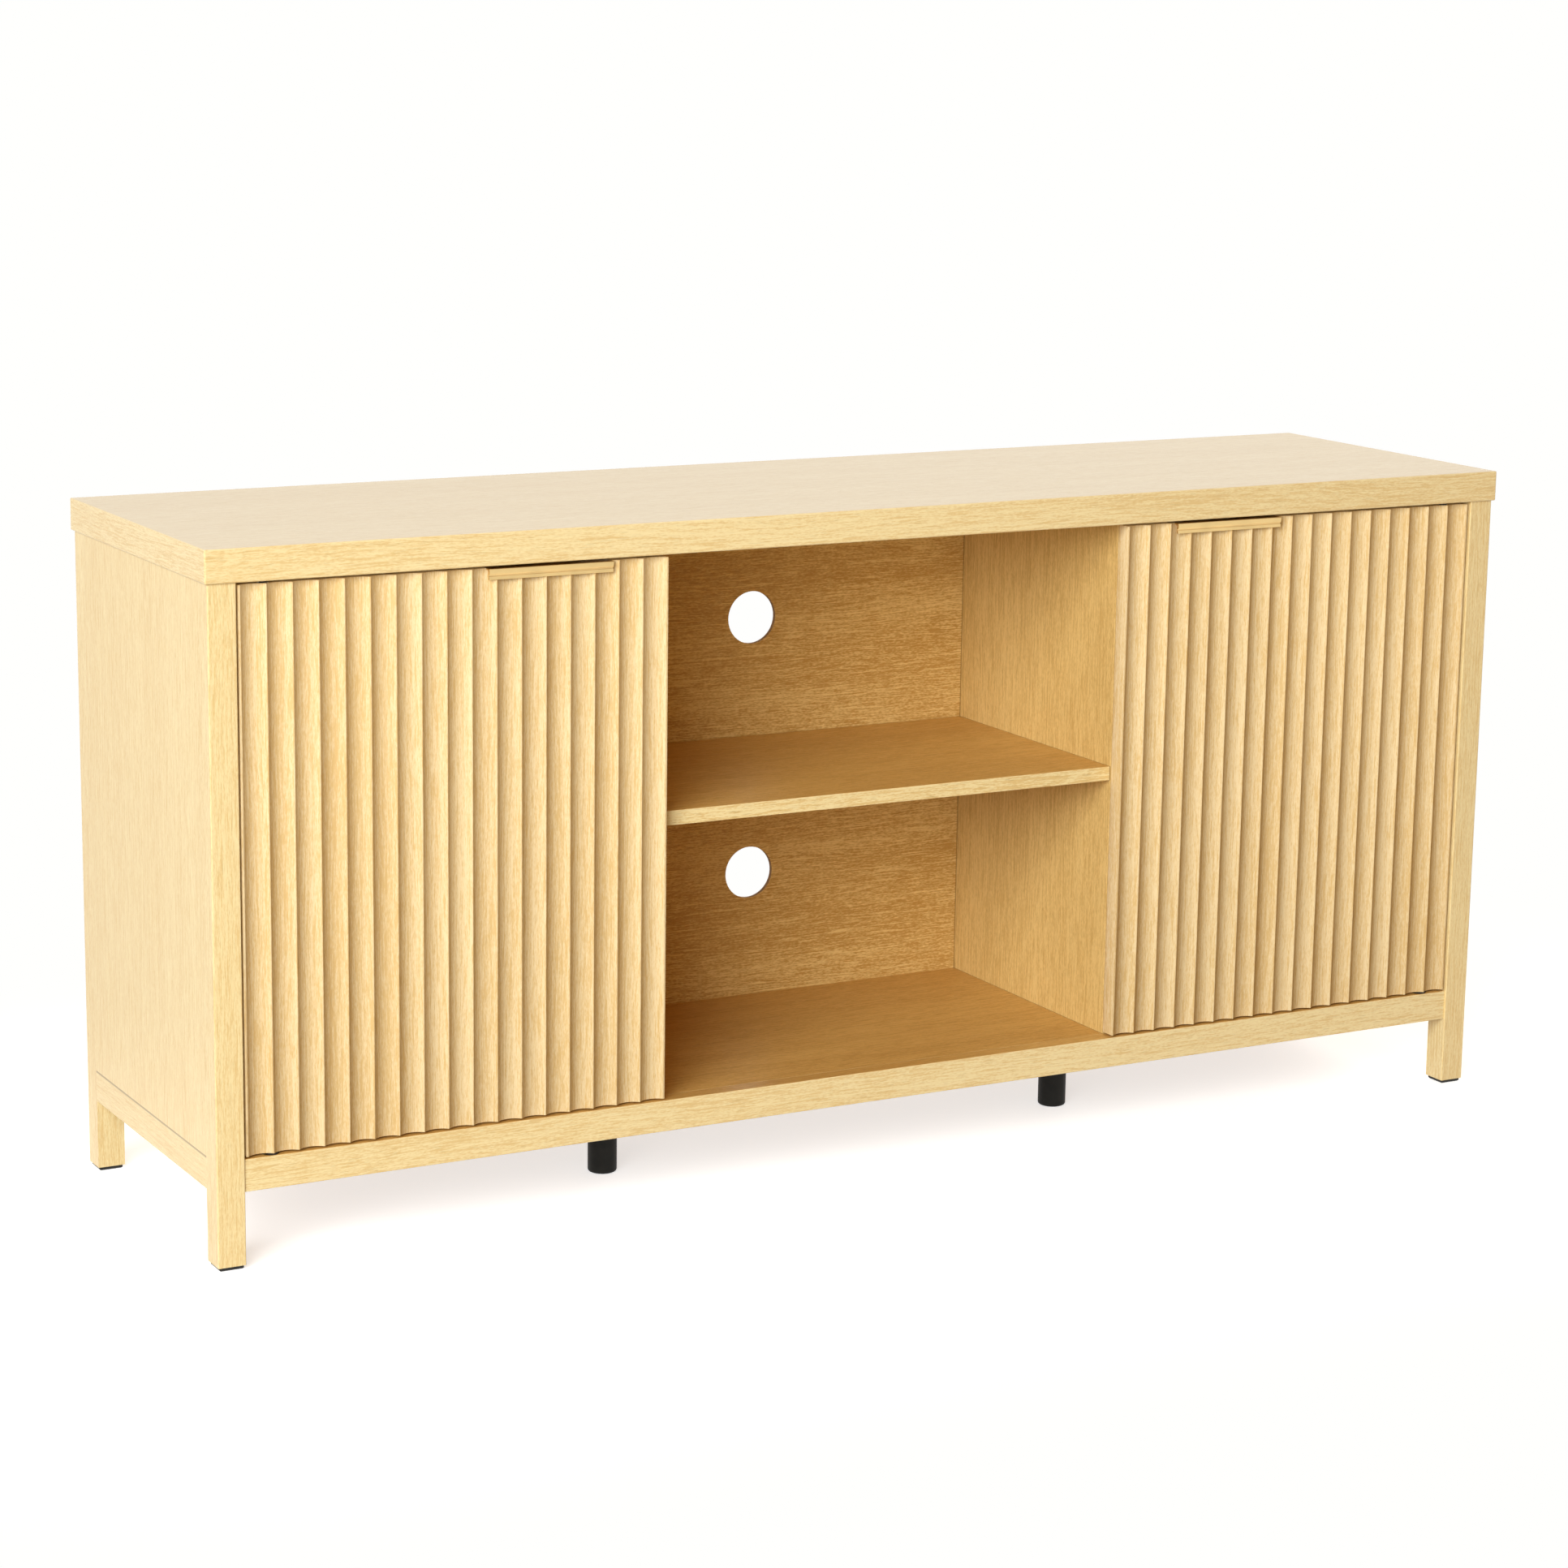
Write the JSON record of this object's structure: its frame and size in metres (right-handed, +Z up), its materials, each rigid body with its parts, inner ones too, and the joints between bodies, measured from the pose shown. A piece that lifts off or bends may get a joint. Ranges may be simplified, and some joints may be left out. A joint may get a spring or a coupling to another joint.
{
  "type": "media cabinet",
  "caption": "Low oak media cabinet on square posts with fluted pivoting doors, an open middle bay with a shelf and cable holes, brass edge pulls and slim support legs.",
  "frame": {"origin": "on the floor, under the centre of the top", "axes": "+X along the width to the right seen from the front, +Y from front to back, +Z up"},
  "size_m": [1.473, 0.381, 0.686],
  "materials": {
    "oak_top": "satin oak veneer, pale, grain along the width",
    "oak_door": "satin oak veneer over fluted board, upright grain",
    "oak_frame": "satin oak, grain along each post and rail",
    "oak_panel": "satin oak veneer, upright grain",
    "oak_shelf": "satin oak veneer, grain along the width",
    "back_board": "thin oak-print board, grain along the width",
    "brass_pull": "satin brass",
    "black_leg": "satin black",
    "black_pad": "matt black",
    "white_nylon": "moulded nylon",
    "dark_magnet": "ferrite, matt",
    "clear_bumper": "soft translucent",
    "beech_dowel": "turned beech",
    "zinc_steel": "zinc plated"
  },
  "bodies": {
    "cabinet": {"bottom_panel": "oak_shelf", "catch_screws": "zinc_steel", "door_bumpers": "clear_bumper", "dowels": "beech_dowel", "front_rail": "oak_frame", "left_back_panel": "back_board", "left_catch_magnet": "dark_magnet", "left_divider": "oak_panel", "left_door_catch": "white_nylon", "left_front_post": "oak_frame", "left_lower_pivot_pin": "zinc_steel", "left_rear_post": "oak_frame", "left_shelf": "oak_shelf", "left_side_panel": "oak_panel", "left_side_rail": "oak_frame", "left_support_leg": "black_leg", "left_upper_pivot_bush": "white_nylon", "leg_pads": "black_pad", "middle_back_panel": "back_board", "middle_shelf": "oak_shelf", "rear_rail": "oak_frame", "right_back_panel": "back_board", "right_catch_magnet": "dark_magnet", "right_divider": "oak_panel", "right_door_catch": "white_nylon", "right_front_post": "oak_frame", "right_lower_pivot_pin": "zinc_steel", "right_rear_post": "oak_frame", "right_shelf": "oak_shelf", "right_side_panel": "oak_panel", "right_side_rail": "oak_frame", "right_support_leg": "black_leg", "right_upper_pivot_bush": "white_nylon", "shelf_pins": "zinc_steel", "support_leg_screws": "zinc_steel", "top_panel": "oak_top"},
    "left_leaf": {"left_door": "oak_door", "left_handle": "brass_pull", "left_handle_screws": "brass_pull", "left_lower_pivot_bush": "white_nylon", "left_strike_plate": "zinc_steel", "left_strike_screw": "zinc_steel", "left_upper_pivot_pin": "zinc_steel", "left_upper_pivot_sleeve": "white_nylon"},
    "right_leaf": {"right_door": "oak_door", "right_handle": "brass_pull", "right_handle_screws": "brass_pull", "right_lower_pivot_bush": "white_nylon", "right_strike_plate": "zinc_steel", "right_strike_screw": "zinc_steel", "right_upper_pivot_pin": "zinc_steel", "right_upper_pivot_sleeve": "white_nylon"}
  },
  "joints": [
    {"name": "left_door_hinge", "type": "hinge", "parent": "cabinet", "child": "left_leaf", "pos_m": [-0.67579, -0.1765, 0.38], "axis": [0, 0, 1], "range_deg": [-110, 0]},
    {"name": "right_door_hinge", "type": "hinge", "parent": "cabinet", "child": "right_leaf", "pos_m": [0.67579, -0.1765, 0.38], "axis": [0, 0, 1], "range_deg": [0, 110]}
  ]
}
